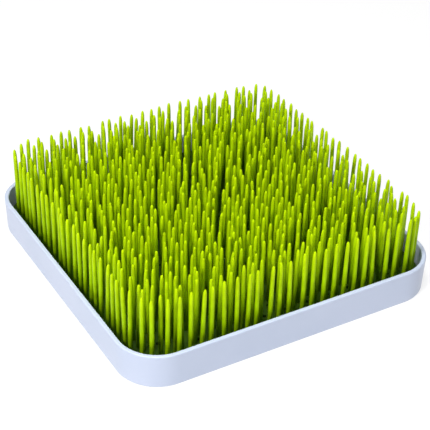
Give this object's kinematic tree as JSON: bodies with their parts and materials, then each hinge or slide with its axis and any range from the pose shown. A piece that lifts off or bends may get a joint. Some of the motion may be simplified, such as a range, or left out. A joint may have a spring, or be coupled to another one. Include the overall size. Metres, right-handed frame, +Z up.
{
  "type": "bottle drying rack",
  "caption": "Countertop drying rack: a shallow square drip tray with a lift-out insert of upright soft blades that hold bottles and small parts while they dry.",
  "frame": {"origin": "centre of the square tray, on the table", "axes": "+Z up out of the tray, X and Y along the tray's straight sides, -Y towards the front"},
  "size_m": [0.2412, 0.2412, 0.0635],
  "materials": {
    "tray_plastic": "satin moulded plastic, pale lavender white",
    "plate_plastic": "satin moulded plastic, deep yellow-green",
    "blade_plastic": "soft satin plastic, bright yellow-green"
  },
  "bodies": {
    "tray": {"tray": "tray_plastic"},
    "blade_insert": {"drain_plate": "plate_plastic", "plate_legs": "plate_plastic", "edge_blades_front": "blade_plastic", "edge_blades_right": "blade_plastic", "edge_blades_back": "blade_plastic", "edge_blades_left": "blade_plastic", "blade_row_01": "blade_plastic", "blade_row_02": "blade_plastic", "blade_row_03": "blade_plastic", "blade_row_04": "blade_plastic", "blade_row_05": "blade_plastic", "blade_row_06": "blade_plastic", "blade_row_07": "blade_plastic", "blade_row_08": "blade_plastic", "blade_row_09": "blade_plastic", "blade_row_10": "blade_plastic", "blade_row_11": "blade_plastic", "blade_row_12": "blade_plastic", "blade_row_13": "blade_plastic", "blade_row_14": "blade_plastic", "blade_row_15": "blade_plastic", "blade_row_16": "blade_plastic", "blade_row_17": "blade_plastic", "blade_row_18": "blade_plastic", "blade_row_19": "blade_plastic", "blade_row_20": "blade_plastic", "blade_row_21": "blade_plastic", "blade_row_22": "blade_plastic", "blade_row_23": "blade_plastic", "blade_row_24": "blade_plastic", "blade_row_25": "blade_plastic"}
  },
  "joints": [
    {"name": "insert_lift", "type": "slide", "parent": "tray", "child": "blade_insert", "axis": [0, 0, 1], "range_m": [0, 0.06]}
  ]
}
